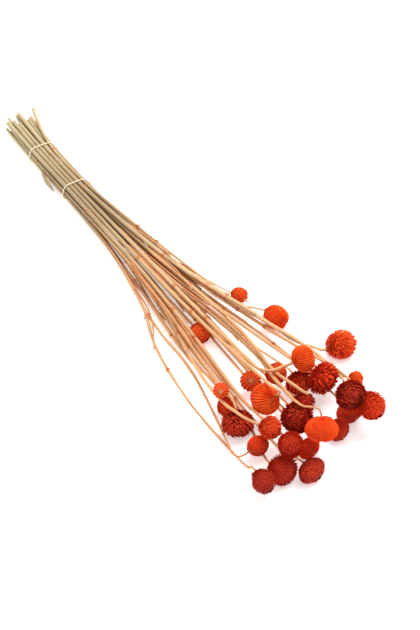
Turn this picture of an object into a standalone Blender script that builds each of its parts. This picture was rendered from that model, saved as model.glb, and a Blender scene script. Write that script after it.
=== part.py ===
"""A tied bunch of dried globe amaranth, lying down, dyed orange.

Twenty-seven dried stems are held flat together by two thin bands near their cut ends. From there they fan
out to twenty-eight papery heads, which lie against each other in a loose pile. The bunch lies along X with
its heads at +X, and it rests on its bands and on the bracts of its lowest heads. The origin is under the
middle of the bunch, on the surface that it lies on.

Every length below is in millimetres. `new_part` turns them into metres.
"""

import math
import random

import bmesh
import bpy
import numpy as np
from mathutils import Matrix, Vector

MM = 0.001
GAP = 0.35                     # air between neighbours
FLOOR_GAP = 0.5                # air between the surface and what is only close to it
SEAT_GAP = 0.3                 # air between a stem's end and its head

# Bands
BAND_THICK = 1.0
BAND_STEPS = 40
BAND_SIDES = 6
BANDS = (("band_near_cut_ends", -274.0), ("band_at_fan", -206.0))
BUNDLE_Y = -16.0               # middle of the stems where they are tied
STEM_PITCH = 3.4               # spacing of the stems there
LAYER_RISE = 2.75
LAYER_COLUMNS = (7, 8, 7, 5)   # stems in each layer, from the lowest up
TIED_HALF = 45                 # the bands lift the stems this far to either side
TIED_FADE = 55

# Stems
STEM_SIDES = 6
STEP_AT_HEAD = 3.0             # spacing of a stem's rings beside its head
STEP_GROWTH = 1.38
STEP_IN_FAN = 28.0
STEP_TIED = 52.0
LAST_STEP = 1.4                # the last span, to the cut end, is at least this share of the one before
FAN_LENGTH = 280.0             # the stems lie nearly straight further than this from their heads
NECK = 4.0                     # straight end of a stem, in line with its head
NECK_SHARE = 0.6              # thickness at the head, as a share of that at the cut end
TAPER = 3.0
NODE_SWELL = 0.32              # a node is thicker than its stem by this share
NODE_SHOULDER = 0.04
NODE_HALF = 2.2
NODE_NEAR, NODE_FAR = 90, 210  # distances from the head between which a stem has its node
NODE_SPARE = 1.15              # a stem has a node where it is longer than the far one by this factor
NODE_CLEAR = 0.3               # a node keeps this share of its span from the rings at either end

# Heads: name, centre, length, width, azimuth and elevation of the apex in degrees, number of bracts
HEADS = (
    ("head_01", (0.1, 30.3, 8), 17.2, 14, 50, 0, 40),
    ("head_02", (40.6, 40.7, 9.4), 25.2, 21.1, 14, 5, 52),
    ("head_03", (98, 66.6, 10.6), 29, 24, 78, 5, 56),
    ("head_04", (109, 17.6, 31.6), 20.4, 22.6, 75, 14, 50),
    ("head_05", (127.7, 24.6, 21), 22.3, 27.2, 14, 2, 56),
    ("head_06", (112.3, 12.5, 9.9), 19.8, 22.5, -5, -5, 46),
    ("head_07", (92.1, -21.6, 13), 16.8, 17.8, -30, 52, 44),
    ("head_08", (121.5, -28.1, 23), 23, 26, -146, -41, 54),
    ("head_09", (98.4, -54.7, 28), 12.9, 13.5, -35, 40, 38),
    ("head_10", (99.4, -49.7, 7), 19, 15.9, -20, 0, 40),
    ("head_11", (121.9, -54.2, 11.1), 23.8, 25.5, -25, -25, 54),
    ("head_12", (149.9, -43.9, 26.5), 19, 18.8, 25, 10, 48),
    ("head_13", (152.9, -20.4, 26), 24, 25.2, -33, 45, 54),
    ("head_14", (177.2, -15, 33), 22, 26.2, -30, -50, 54),
    ("head_15", (176.1, -43.4, 32.2), 20, 20.5, -33, 42, 50),
    ("head_16", (149.9, -54.9, 12), 20, 16.1, 95, 3, 44),
    ("head_17", (178, -51.8, 11.1), 23.2, 25.2, 10, 20, 52),
    ("head_18", (182.8, -73.2, 16.1), 22.8, 19.5, -3, -3, 48),
    ("head_19", (170.6, -21.1, 8.2), 15.2, 18.5, 5, 5, 44),
    ("head_20", (190.2, -33, 9.5), 18, 21.5, 5, 0, 48),
    ("head_21", (138.4, 50.1, 14), 14.1, 14.2, 35, 5, 38),
    ("head_22", (167.5, 19.7, 41.2), 21.1, 24.9, -22, 20, 56),
    ("head_23", (173.9, 36.1, 25.1), 26.2, 23, -4, -3, 54),
    ("head_24", (159.6, 28, 9.9), 18.5, 22.4, 0, -5, 48),
    ("head_25", (168.6, 9.7, 8.6), 16.4, 19.4, 20, 5, 42),
    ("head_26", (18.9, -23, 7.5), 21, 17, 0, 0, 42),
    ("head_27", (131.6, 2.4, 8.5), 19.5, 19.2, 10, 0, 46),
    ("head_28", (98.8, -1, 16), 18.9, 18.6, 0, 0, 44),
)
GOLDEN_ANGLE = math.pi * (3 - math.sqrt(5))
FIRST_BRACT, LAST_BRACT = -0.86, 0.98   # heights of the lowest and the highest bract on the ovoid
CORE = 0.86                    # valleys between the bracts, as a share of the way out to their tips
LEAN = 0.10                    # how far the bracts lean to the apex, as a share of the head's length
LEAN_FROM = -0.6               # height on the ovoid below which they don't
TIP_SHORTEST = 0.95            # shares of the way out that the tips reach
BASE_SHARE = 0.90              # the base lies this far out, as a share of half the length

# Stems: name, head, tie column and layer, cut end (x, y, z), radius at the cut end, points on the way
STEMS = (
    ("stem_01", "head_18", 1, 0, (-330, -27, 5), 1.45,
     ((-130, -30, 5), (-44, -43, 3), (-4, -57.8, 3), (34.2, -66, 3), (87, -72, 4), (108, -71.5, 3),
      (144, -70.3, 3), (158.6, -70.9, 6))),
    ("stem_02", "head_11", 0, 0, (-326, -24, 4), 1.5, ((-60, -34, 4), (40, -46, 8), (90, -46, 18))),
    ("stem_03", "head_10", 1, 1, (-336, -22, 7), 1.45, ((-60, -31, 7), (40, -45, 8))),
    ("stem_04", "head_09", 2, 0, (-333, -23, 10), 1.4, ((-60, -30, 11), (40, -42, 15))),
    ("stem_05", "head_17", 0, 1, (-324, -20, 4), 1.6,
     ((-60, -28, 4), (40, -38, 3), (115, -41, 2.5), (147, -50, 2))),
    ("stem_06", "head_12", 2, 1, (-338, -18, 10), 1.75,
     ((-60, -26, 8), (59.9, -50.4, 13), (89.4, -55.3, 18), (104.4, -56, 19), (121, -55.7, 24.5),
      (131.4, -54.2, 26))),
    ("stem_07", "head_20", 0, 2, (-322, -17, 4), 1.45,
     ((-60, -24, 4), (40, -32, 3), (120, -37, 3), (162, -36, 3))),
    ("stem_08", "head_15", 3, 0, (-328, -22, 13), 1.8, ((-60, -26, 13), (40, -34, 16), (125, -46, 27))),
    ("stem_09", "head_07", 1, 3, (-327, -14, 7), 1.45, ((-60, -19, 5), (40, -20, 4))),
    ("stem_10", "head_08", 3, 1, (-325, -18, 13), 1.95,
     ((-60, -20, 14), (63.6, -19.5, 22), (85.7, -20.8, 28), (99, -22, 31.5), (109.4, -22.6, 34),
      (121.3, -24.3, 37.5), (130.6, -24.4, 40.5), (133.6, -21.8, 40.5))),
    ("stem_11", "head_26", 1, 2, (-321, -18, 7), 1.5, ((-60, -23, 6),)),
    ("stem_12", "head_13", 2, 2, (-331, -15, 10), 1.6,
     ((-60, -17, 9), (60, -14, 11), (115, -10, 9), (134, -10, 9.5))),
    ("stem_13", "head_19", 0, 3, (-323, -13, 4), 1.45, ((-60, -13, 4), (60, -12, 4), (130, -16, 5))),
    ("stem_14", "head_14", 2, 3, (-338, -11, 10), 2.05,
     ((-60, -10, 12), (49, -2, 18), (81.7, -3.1, 22.5), (107.4, -9.2, 27), (124.2, -12.7, 33),
      (141.4, -16.9, 38.5), (149.5, -17.7, 40.5), (158.1, -16.9, 43), (164.3, -15.6, 46),
      (167.9, -13.2, 48))),
    ("stem_15", "head_25", 0, 4, (-326, -9, 4), 1.4,
     ((-60, -9, 4), (60, -8, 3), (131, -9.5, 3), (146, -1, 5))),
    ("stem_16", "head_27", 1, 5, (-322, -9, 7), 1.5, ((-60, -8, 7), (60, -6, 7))),
    ("stem_17", "head_28", 1, 4, (-330, -11, 7), 1.4, ((-60, -9, 8), (50, 0, 14))),
    ("stem_18", None, 2, 4, (-324, -8, 11), 1.9,
     ((-60, -4, 13), (33, 0, 21), (69.8, -2.9, 25), (95.7, -7.3, 28), (108.4, -8, 30),
      (122.9, -8.4, 35), (136.3, -7.8, 38), (142.1, -6.9, 38), (146.5, -4.9, 38))),
    ("stem_19", "head_04", 3, 2, (-320, -15, 13), 1.9,
     ((-60, -15, 15), (43, -14, 18), (69.5, -14.6, 22), (85.5, -16.8, 24.5), (95.5, -17, 27),
      (102.6, -15.5, 30), (107.9, -11.2, 31.5), (108, -6.1, 31), (105.4, 1.1, 29))),
    ("stem_20", "head_06", 0, 5, (-331, -6, 4), 1.5, ((-60, -3, 4), (50, 8, 4))),
    ("stem_21", "head_05", 1, 6, (-327, -5, 7), 1.55, ((-60, -1, 7), (50, 14, 10))),
    ("stem_22", "head_24", 0, 6, (-322, -4, 4), 1.5, ((-60, 2, 4), (60, 24, 4), (130, 30, 6))),
    ("stem_23", "head_22", 3, 3, (-334, -10, 13), 2,
     ((-60, 2, 13), (60, 31, 14), (87, 39, 15), (122, 41, 15), (143, 34, 26))),
    ("stem_24", "head_23", 2, 5, (-325, -4, 10), 1.75,
     ((-60, 3, 9), (60, 28, 9), (127, 41, 17), (145, 39.5, 22))),
    ("stem_25", "head_03", 2, 6, (-329, -2, 10), 1.85,
     ((-60, 6, 10), (37, 27, 14), (63.6, 31.9, 14), (75, 34.6, 13), (85.7, 42.9, 12),
      (91.8, 47.2, 11))),
    ("stem_26", "head_02", 1, 7, (-324, -1, 7), 1.45, ((-60, 7, 5), (-1, 28, 4), (16, 34, 8))),
    ("stem_27", "head_01", 3, 4, (-336, 6, 12), 1.6, ((-130, -2, 13), (-59, 9, 11))),
)

# Side shoots: stem that carries it, head, the fork, radius, points on the way
SHOOTS = (
    ("stem_01", "head_16", (-44, -43, 3), 1.25,
     ((6, -50, 5), (25, -49, 6), (58, -52, 7), (77.9, -55.4, 6), (97.5, -60.1, 7),
      (110.9, -63.2, 8), (128.8, -68, 8.5), (146, -73, 9), (150.6, -71.9, 10))),
    ("stem_23", "head_21", (122, 41, 15), 1.0, ()),
)

# Spurs left by side shoots that broke off: stem, place along X, azimuth and elevation, length
SPURS = (
    ("stem_01", -48, -110, 10, 4.0),
    ("stem_14", -50, -60, 60, 3.5),
    ("stem_23", 36, -70, 60, 4.5),
    ("stem_10", 8, -40, 60, 3.5),
    ("stem_18", 60, 0, 50, 3.0),
)
SPUR_RADII = (0.82, 0.75, 0.45)

# Dried leaf left on an outer stem
LEAF_STEM = "stem_01"
LEAF_WAY = ((-249, -24, 5), (-245, -31, 7), (-232, -34.5, 6), (-219, -35.5, 4))
LEAF_RADII = (0.6, 1.3, 1.9, 0.7)
LEAF_FLAT = 0.3

# Colour and roughness
PAPER = (0.80, 0.12, 0.02), 0.8
STRAW = (0.75, 0.55, 0.32), 0.6
RUBBER = (0.85, 0.80, 0.65), 0.5

# Settling of the stems
SETTLE_STEPS = 420
FLOW = 0.5                     # share of a sideways move that spreads to the next rings
FLOW_LAST = 0.25
LAST_STEPS = 0.3               # share of the steps in which it fades out
PUSH_APART = 0.75
PUSH_OUT = 0.9
SEED = 7


def clear_scene():
    for item in list(bpy.data.objects):
        bpy.data.objects.remove(item)


def aim(azimuth, elevation):
    """Unit vector for two angles in degrees."""
    turn, rise = math.radians(azimuth), math.radians(elevation)
    return np.array([math.cos(turn) * math.cos(rise), math.sin(turn) * math.cos(rise), math.sin(rise)])


class Head:
    """An ovoid of bracts: its place, its half sizes and the seat that its stem ends at."""

    def __init__(self, name, centre, length, width, azimuth, elevation, bracts):
        self.name = name
        self.centre = np.array(centre, float)
        self.half_length = length / 2
        self.half_width = width / 2
        self.axis = aim(azimuth, elevation)
        self.bracts = bracts
        self.base = self.centre - self.axis * self.half_length * BASE_SHARE

    def reach(self, outward):
        """Distance from the centre to the ovoid along unit vectors."""
        along = outward @ self.axis
        return 1 / np.sqrt((along / self.half_length) ** 2 + (1 - along ** 2) / self.half_width ** 2)


def smooth_curve(points, per_span=24):
    """Dense points along a centripetal Catmull-Rom curve through the given points."""
    points = [np.array(p, float) for p in points]
    points = [2 * points[0] - points[1]] + points + [2 * points[-1] - points[-2]]
    dense = []
    for p0, p1, p2, p3 in zip(points, points[1:], points[2:], points[3:]):
        t1 = np.linalg.norm(p1 - p0) ** 0.5
        t2 = t1 + np.linalg.norm(p2 - p1) ** 0.5
        t3 = t2 + np.linalg.norm(p3 - p2) ** 0.5
        for t in np.linspace(t1, t2, per_span, endpoint=False):
            a1 = p0 * (t1 - t) / t1 + p1 * t / t1
            a2 = p1 * (t2 - t) / (t2 - t1) + p2 * (t - t1) / (t2 - t1)
            a3 = p2 * (t3 - t) / (t3 - t2) + p3 * (t - t2) / (t3 - t2)
            b1 = a1 * (t2 - t) / t2 + a2 * t / t2
            b2 = a2 * (t3 - t) / (t3 - t1) + a3 * (t - t1) / (t3 - t1)
            dense.append(b1 * (t2 - t) / (t2 - t1) + b2 * (t - t1) / (t2 - t1))
    dense.append(points[-2])
    return np.array(dense)


def ring_places(length):
    """Distances from the head end at which a stem has rings: close together by the head, wide further on."""
    places, step = [0.0, NECK], STEP_AT_HEAD
    while places[-1] + step * LAST_STEP < length:
        places.append(places[-1] + step)
        step = min(step * STEP_GROWTH, STEP_IN_FAN if places[-1] < FAN_LENGTH else STEP_TIED)
    places.append(length)
    return np.array(places)


class Strand:
    """The middle line of one stem or side shoot, from its thick end to its head."""

    def __init__(self, node, route, radius, head, draw, fork=None):
        self.node = node
        self.head = head
        neck = []
        if head is not None:
            neck = [head.base - head.axis * (SEAT_GAP + NECK), head.base - head.axis * SEAT_GAP]
        dense = smooth_curve(list(route) + neck)
        run = np.concatenate([[0], np.cumsum(np.linalg.norm(np.diff(dense, axis=0), axis=1))])
        length = run[-1]
        places = (length - ring_places(length))[::-1]
        self.points = np.array([[np.interp(s, run, dense[:, k]) for k in range(3)] for s in places])
        self.radii = radius * (1 - (1 - NECK_SHARE) * (places / length) ** TAPER)
        self.free = np.ones(len(places))
        if head is not None:
            self.points[-2:] = neck
            self.free[-2:] = 0
        if fork is not None:
            self.points[0] = fork
            self.free[0] = 0
        self.nodes = {}
        place = length - draw.uniform(NODE_NEAR, NODE_FAR)
        if length > NODE_FAR * NODE_SPARE:
            after = np.searchsorted(places, place)
            share = (place - places[after - 1]) / (places[after] - places[after - 1])
            self.nodes[after - 1] = min(max(share, NODE_CLEAR), 1 - NODE_CLEAR)

    def pin(self, place):
        """Hold the nearest ring at a fork."""
        nearest = np.argmin(np.linalg.norm(self.points - place, axis=1))
        self.points[nearest] = place
        self.free[nearest] = 0

    def rings(self):
        """Points and radii of all rings, with three more at each swollen node."""
        points, radii = [], []
        for i, (point, radius) in enumerate(zip(self.points, self.radii)):
            points.append(point)
            radii.append(radius)
            if i in self.nodes:
                span = self.points[i + 1] - point
                for offset, swell in (-NODE_HALF, NODE_SHOULDER), (0, NODE_SWELL), (NODE_HALF, NODE_SHOULDER):
                    share = self.nodes[i] + offset / np.linalg.norm(span)
                    points.append(point + span * share)
                    radii.append((radius + (self.radii[i + 1] - radius) * share) * (1 + swell))
        return np.array(points), np.array(radii)


def closest(p, u, q, v):
    """Shares along each pair of segments p + s u and q + t v where they come nearest."""
    w = p - q
    a = (u * u).sum(1)
    b = (u * v).sum(1)
    c = (v * v).sum(1)
    d = (u * w).sum(1)
    e = (v * w).sum(1)
    s = np.clip((b * e - c * d) / np.maximum(a * c - b * b, 1e-9), 0, 1)
    t = np.clip((b * s + e) / c, 0, 1)
    s = np.clip((b * t - d) / a, 0, 1)
    return s, t


class Bundle:
    """All strands together, as one list of points and one of the segments between them."""

    def __init__(self, strands, heads):
        self.strands = strands
        self.heads = heads
        self.points = np.concatenate([strand.points for strand in strands])
        self.route = self.points.copy()
        self.radii = np.concatenate([strand.radii for strand in strands])
        self.free = np.concatenate([strand.free for strand in strands])[:, None]
        self.strand = np.repeat(np.arange(len(strands)), [len(strand.points) for strand in strands])
        self.inner = np.flatnonzero(self.strand[:-2] == self.strand[2:]) + 1
        self.start = np.flatnonzero(self.strand[:-1] == self.strand[1:])
        self.thick = np.maximum(self.radii[self.start], self.radii[self.start + 1])
        self.thick *= 1 + NODE_SWELL * np.concatenate(
            [[i in strand.nodes for i in range(len(strand.points) - 1)] for strand in strands])
        stems = [strand.node for strand in strands]
        stem = np.array([stems.index(strands[n].node) for n in self.strand[self.start]])
        first, second = np.triu_indices(len(stem), 1)
        self.pairs = first[stem[first] != stem[second]], second[stem[first] != stem[second]]
        tied = np.clip(1 - (np.abs(self.points[:, 0] - np.mean([x for _, x in BANDS])) - TIED_HALF)
                       / TIED_FADE, 0, 1)
        self.floor = self.radii + FLOOR_GAP + BAND_THICK * tied

    def spread(self, segments, share, push):
        """Sum a push on each segment over its two end points, and count how often each is pushed."""
        total = np.zeros_like(self.points)
        count = np.zeros(len(self.points))
        for offset, weight in ((0, 1 - share), (1, share)):
            np.add.at(total, self.start[segments] + offset, push * weight[:, None])
            np.add.at(count, self.start[segments] + offset, weight)
        return total, count

    def flow(self, share):
        """Spread each sideways move along its strand, so that the strand stays smooth."""
        moved = self.points - self.route
        middle = (moved[self.inner - 1] + moved[self.inner + 1]) / 2
        self.points[self.inner] += (middle - moved[self.inner]) * share * self.free[self.inner]

    def part_strands(self):
        """Push strands of different stems apart where they are too close."""
        ends, spans = self.points[self.start], np.diff(self.points, axis=0)[self.start]
        middles, halves = ends + spans / 2, np.linalg.norm(spans, axis=1) / 2
        first, second = self.pairs
        near = np.linalg.norm(middles[first] - middles[second], axis=1) < (
            halves[first] + halves[second] + self.thick[first] + self.thick[second] + GAP)
        first, second = first[near], second[near]
        s, t = closest(ends[first], spans[first], ends[second], spans[second])
        apart = ends[first] + spans[first] * s[:, None] - ends[second] - spans[second] * t[:, None]
        distance = np.maximum(np.linalg.norm(apart, axis=1), 1e-6)
        short = self.thick[first] + self.thick[second] + GAP - distance
        hit = short > 0
        push = apart[hit] / distance[hit, None] * short[hit, None] * PUSH_APART
        total, count = self.spread(first[hit], s[hit], push)
        other_total, other_count = self.spread(second[hit], t[hit], -push)
        count = np.maximum(count + other_count, 1)[:, None]
        self.points += (total + other_total) / count * self.free
        return short.max()

    def leave_heads(self):
        """Push strands out of the heads. The neck of a head's own strand stays in it."""
        worst = 0
        for head in self.heads:
            ends, spans = self.points[self.start], np.diff(self.points, axis=0)[self.start]
            share = np.clip(((head.centre - ends) * spans).sum(1) / (spans * spans).sum(1), 0, 1)
            away = ends + spans * share[:, None] - head.centre
            distance = np.linalg.norm(away, axis=1)
            outward = away / distance[:, None]
            short = head.reach(outward) + self.thick + GAP - distance
            own = np.array([strand.head is head for strand in self.strands])[self.strand[self.start]]
            neck = np.append(self.strand, [-1, -1])[self.start + 2] != self.strand[self.start]
            hit = np.flatnonzero((short > 0) & ~(own & neck))
            total, count = self.spread(hit, share[hit], outward[hit] * short[hit, None] * PUSH_OUT)
            self.points += total / np.maximum(count, 1)[:, None] * self.free
            worst = max(worst, short[hit].max(initial=0))
        return worst

    def settle(self):
        """Bend the strands clear of each other, of the heads and of the surface."""
        for step in range(SETTLE_STEPS):
            left = 1 - step / SETTLE_STEPS
            self.flow(FLOW if left > LAST_STEPS else FLOW_LAST * left)
            self.part_strands()
            self.leave_heads()
            low = self.points[:, 2] < self.floor
            self.points[low, 2] += ((self.floor - self.points[:, 2]) * self.free[:, 0])[low]
        for n, strand in enumerate(self.strands):
            strand.points = self.points[self.strand == n]


def material(name, colour, roughness):
    made = bpy.data.materials.new(name)
    made.use_nodes = True
    shader = made.node_tree.nodes["Principled BSDF"]
    shader.inputs["Base Color"].default_value = (*colour, 1)
    shader.inputs["Roughness"].default_value = roughness
    shader.inputs["Metallic"].default_value = 0
    return made


def new_part(name, mesh, look):
    """An object in metres from a bmesh in millimetres, with its own material."""
    bmesh.ops.scale(mesh, vec=Vector((MM, MM, MM)), verts=mesh.verts)
    bmesh.ops.recalc_face_normals(mesh, faces=mesh.faces)
    data = bpy.data.meshes.new(name)
    mesh.to_mesh(data)
    mesh.free()
    data.materials.append(material(name, *look))
    item = bpy.data.objects.new(name, data)
    bpy.context.scene.collection.objects.link(item)
    return item


def head_mesh(head, draw):
    """Leaning bracts, each a small pyramid, round an ovoid core. A head that lies down is flat below."""
    mesh = bmesh.new()
    side = np.cross(head.axis, (0, 0, 1))
    side /= np.linalg.norm(side)
    across = np.cross(head.axis, side)
    mesh.verts.new(head.base)
    turn = draw.uniform(0, math.tau)
    for i in range(head.bracts):
        along = FIRST_BRACT + (LAST_BRACT - FIRST_BRACT) * (i + 0.5) / head.bracts
        spread = math.sqrt(1 - along ** 2)
        angle = turn + i * GOLDEN_ANGLE
        outward = math.cos(angle) * side + math.sin(angle) * across
        tip = head.axis * along * head.half_length + outward * spread * head.half_width
        mesh.verts.new(head.centre + tip * draw.uniform(TIP_SHORTEST, 1))
    bmesh.ops.convex_hull(mesh, input=mesh.verts)
    valleys = {}
    for face in mesh.faces:
        from_centre = np.array(face.calc_center_median()) - head.centre
        height = np.clip(from_centre @ head.axis / head.half_length, -1, 1)
        back = head.axis * head.half_length * LEAN * (1 - height ** 2) * (height > LEAN_FROM)
        valleys[face] = mesh.verts.new(head.centre + from_centre * CORE - back)
    hull = mesh.faces[:]
    ridges = [(edge.verts[:], [valleys[face] for face in edge.link_faces]) for edge in mesh.edges]
    for tips, low in ridges:
        mesh.faces.new((tips[0], low[0], low[1]))
        mesh.faces.new((tips[1], low[1], low[0]))
    bmesh.ops.delete(mesh, geom=hull, context="FACES_KEEP_BOUNDARY")
    bmesh.ops.delete(mesh, geom=[edge for edge in mesh.edges if not edge.link_faces], context="EDGES")
    cut = bmesh.ops.bisect_plane(mesh, geom=mesh.verts[:] + mesh.edges[:] + mesh.faces[:],
                                 plane_co=(0, 0, 0), plane_no=(0, 0, 1), clear_inner=True)
    rims = [item for item in cut["geom_cut"] if isinstance(item, bmesh.types.BMEdge)]
    if rims:
        bmesh.ops.holes_fill(mesh, edges=rims)
        bmesh.ops.triangulate(mesh, faces=mesh.faces)
    return mesh


def tube(points, radii, sides=STEM_SIDES, flat=1.0):
    """A closed tube with a ring square to the line at every point, thinned upwards by `flat`."""
    mesh = bmesh.new()
    spans = np.diff(points, axis=0)
    spans /= np.linalg.norm(spans, axis=1)[:, None]
    tangents = np.concatenate([spans[:1], spans[:-1] + spans[1:], spans[-1:]])
    up = np.array([0.0, 0.0, 1.0])
    rings = []
    for point, radius, tangent in zip(points, radii, tangents):
        tangent = tangent / np.linalg.norm(tangent)
        up = up - tangent * (up @ tangent)
        up /= np.linalg.norm(up)
        side = np.cross(tangent, up)
        ring = []
        for k in range(sides):
            angle = math.tau * k / sides
            ring.append(mesh.verts.new(point + radius * (math.cos(angle) * side
                                                         + math.sin(angle) * flat * up)))
        rings.append(ring)
    for low, high in zip(rings, rings[1:]):
        for k in range(sides):
            mesh.faces.new((low[k - 1], low[k], high[k], high[k - 1]))
    mesh.faces.new(rings[0])
    mesh.faces.new(rings[-1])
    return mesh


def place_on(strand, x):
    """The middle and the radius of a strand where it passes one place along X."""
    at = [np.interp(x, strand.points[:, 0], strand.points[:, k]) for k in range(3)]
    return np.array(at), np.interp(x, strand.points[:, 0], strand.radii)


def band_mesh(x, strands):
    """A taut band round the outermost stems at one place along the bunch."""
    crossed = [place_on(strand, x) for strand in strands if strand.points[0, 0] < x]
    middles = np.array([at[1:] for at, _ in crossed])
    radii = np.array([radius for _, radius in crossed])
    turns = [math.tau * k / BAND_STEPS for k in range(BAND_STEPS)]
    normals = np.array([(math.cos(turn), math.sin(turn)) for turn in turns])
    reach = (normals @ middles.T + radii).max(axis=1) + SEAT_GAP + BAND_THICK / 2
    mesh = bmesh.new()
    rings = []
    for k in range(BAND_STEPS):
        y, z = np.linalg.solve(normals[[k - 1, k]], reach[[k - 1, k]])
        outward = normals[k - 1] + normals[k]
        outward /= np.linalg.norm(outward)
        ring = []
        for n in range(BAND_SIDES):
            angle = math.tau * n / BAND_SIDES
            lift = BAND_THICK / 2 * math.sin(angle)
            ring.append(mesh.verts.new((x + BAND_THICK / 2 * math.cos(angle),
                                        y + lift * outward[0], z + lift * outward[1])))
        rings.append(ring)
    for low, high in zip(rings, rings[1:] + rings[:1]):
        for n in range(BAND_SIDES):
            mesh.faces.new((low[n - 1], low[n], high[n], high[n - 1]))
    return mesh


def stem_pieces(name, strands):
    """The meshes that grow together in one stem: its strands, its spurs and its leaf."""
    own = [strand for strand in strands if strand.node == name]
    pieces = [tube(*strand.rings()) for strand in own]
    for stem, x, azimuth, elevation, length in SPURS:
        if stem == name:
            root, _ = place_on(own[0], x)
            way = root + np.outer(np.linspace(0, length, len(SPUR_RADII)), aim(azimuth, elevation))
            pieces.append(tube(way, SPUR_RADII, sides=5))
    if name == LEAF_STEM:
        root, _ = place_on(own[0], LEAF_WAY[0][0])
        pieces.append(tube(np.array([root, *LEAF_WAY[1:]]), LEAF_RADII, flat=LEAF_FLAT))
    return pieces


def join(item, pieces):
    """Union more meshes into an object, and remove them."""
    others = bpy.data.collections.new(item.name + "_shoots")
    bpy.context.scene.collection.children.link(others)
    for n, piece in enumerate(pieces):
        extra = new_part(f"{item.name}_shoot_{n}", piece, STRAW)
        bpy.context.scene.collection.objects.unlink(extra)
        others.objects.link(extra)
    union = item.modifiers.new("union", "BOOLEAN")
    union.operation = "UNION"
    union.operand_type = "COLLECTION"
    union.collection = others
    union.solver = "EXACT"
    shape = bpy.data.meshes.new_from_object(item.evaluated_get(bpy.context.evaluated_depsgraph_get()))
    item.modifiers.clear()
    item.data = shape
    for extra in list(others.objects):
        bpy.data.objects.remove(extra)
    bpy.data.collections.remove(others)


def centre_on_origin():
    """Move everything so that the middle of its box is over the origin, and its foot on the surface."""
    items = list(bpy.data.objects)
    corners = np.array([item.matrix_world @ Vector(corner) for item in items for corner in item.bound_box])
    low, high = corners.min(axis=0), corners.max(axis=0)
    shift = ((low[0] + high[0]) / -2, (low[1] + high[1]) / -2, -low[2])
    for item in items:
        item.data.transform(Matrix.Translation(shift))
    return shift


def build():
    clear_scene()
    draw = random.Random(SEED)
    heads = {row[0]: Head(*row) for row in HEADS}
    strands = []
    for name, head, layer, column, cut_end, radius, way in STEMS:
        y = BUNDLE_Y + (column - (LAYER_COLUMNS[layer] - 1) / 2) * STEM_PITCH
        z = BAND_THICK + SEAT_GAP + radius + layer * LAYER_RISE
        tied = [(x, y, z) for _, x in BANDS]
        strands.append(Strand(name, [cut_end, *tied, *way], radius, heads.get(head), draw))
    for name, head, fork, radius, way in SHOOTS:
        next(strand for strand in strands if strand.node == name).pin(np.array(fork))
        strands.append(Strand(name, [fork, *way], radius, heads[head], draw, fork=fork))
    Bundle(strands, list(heads.values())).settle()
    for head in heads.values():
        new_part(head.name, head_mesh(head, draw), PAPER)
    for name in [row[0] for row in STEMS]:
        stem, *grown = stem_pieces(name, strands)
        item = new_part(name, stem, STRAW)
        if grown:
            join(item, grown)
    for name, x in BANDS:
        new_part(name, band_mesh(x, strands), RUBBER)
    return strands, heads, centre_on_origin()


if __name__ == "__main__":
    build()
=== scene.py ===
"""Looks of a tied bunch of dried globe amaranth: papery bracts dyed orange, straw stems and two bands."""

import math
from collections import namedtuple

import bpy
import numpy as np
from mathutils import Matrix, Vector


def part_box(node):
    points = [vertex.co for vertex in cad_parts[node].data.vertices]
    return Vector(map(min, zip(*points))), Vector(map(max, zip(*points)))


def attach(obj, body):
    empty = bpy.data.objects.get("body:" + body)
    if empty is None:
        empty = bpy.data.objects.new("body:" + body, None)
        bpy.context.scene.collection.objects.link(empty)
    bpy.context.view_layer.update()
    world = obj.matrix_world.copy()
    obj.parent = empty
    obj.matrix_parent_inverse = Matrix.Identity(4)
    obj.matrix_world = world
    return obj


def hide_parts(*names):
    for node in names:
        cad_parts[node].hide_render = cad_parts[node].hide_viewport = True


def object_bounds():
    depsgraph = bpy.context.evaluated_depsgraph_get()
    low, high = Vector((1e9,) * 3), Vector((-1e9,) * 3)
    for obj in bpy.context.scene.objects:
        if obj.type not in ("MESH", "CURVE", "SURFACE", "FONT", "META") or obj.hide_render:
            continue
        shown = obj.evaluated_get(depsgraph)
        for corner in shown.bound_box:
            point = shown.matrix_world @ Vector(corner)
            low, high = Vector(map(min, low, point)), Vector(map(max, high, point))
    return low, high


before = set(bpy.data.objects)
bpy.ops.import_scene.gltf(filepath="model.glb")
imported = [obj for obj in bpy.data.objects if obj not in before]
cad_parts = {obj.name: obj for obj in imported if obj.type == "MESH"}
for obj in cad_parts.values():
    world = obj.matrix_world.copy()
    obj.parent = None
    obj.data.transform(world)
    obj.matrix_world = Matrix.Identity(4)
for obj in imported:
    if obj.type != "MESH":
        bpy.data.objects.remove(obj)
cad_box = [np.array(corner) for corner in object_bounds()]


# The surface, the light and the camera. The bunch is seen from above at a slant, on white card, under a
# broad soft lamp overhead, a weak one at the side and an even sky. The card fills the shadows from below.

MM = 0.001
LOOKED_AT = Vector((0.06989, 0.0013, 0.0))
PHOTO_TURN, PHOTO_RISE = 56.5, 45.0          # degrees round the bunch and above the surface
PHOTO_DISTANCE = 1.104
FOCAL_LENGTH, SENSOR = 72.7, 36.0            # millimetres
LAMPS = (                                    # name, turn, rise, distance, size across, power in watts
    ("lamp_overhead", 200.0, 66.0, 1.5, 1.1, 26.0),
    ("lamp_side", -30.0, 35.0, 1.6, 1.2, 5.0),
)
SKY_STRENGTH = 0.74
HALF_CARD = 40.0                             # so wide that its edge doesn't show in a low view
CARD_DROP = 0.2 * MM                         # how far it lies under the bunch
CARD_GLOW = 0.4                              # keeps it white in the shade


def toward(turn, rise):
    """Unit vector from the bunch to a place round it: turn 0 is at -Y, and 90 is at +X."""
    turn, rise = math.radians(turn), math.radians(rise)
    return Vector((math.sin(turn) * math.cos(rise), -math.cos(turn) * math.cos(rise), math.sin(rise)))


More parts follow.
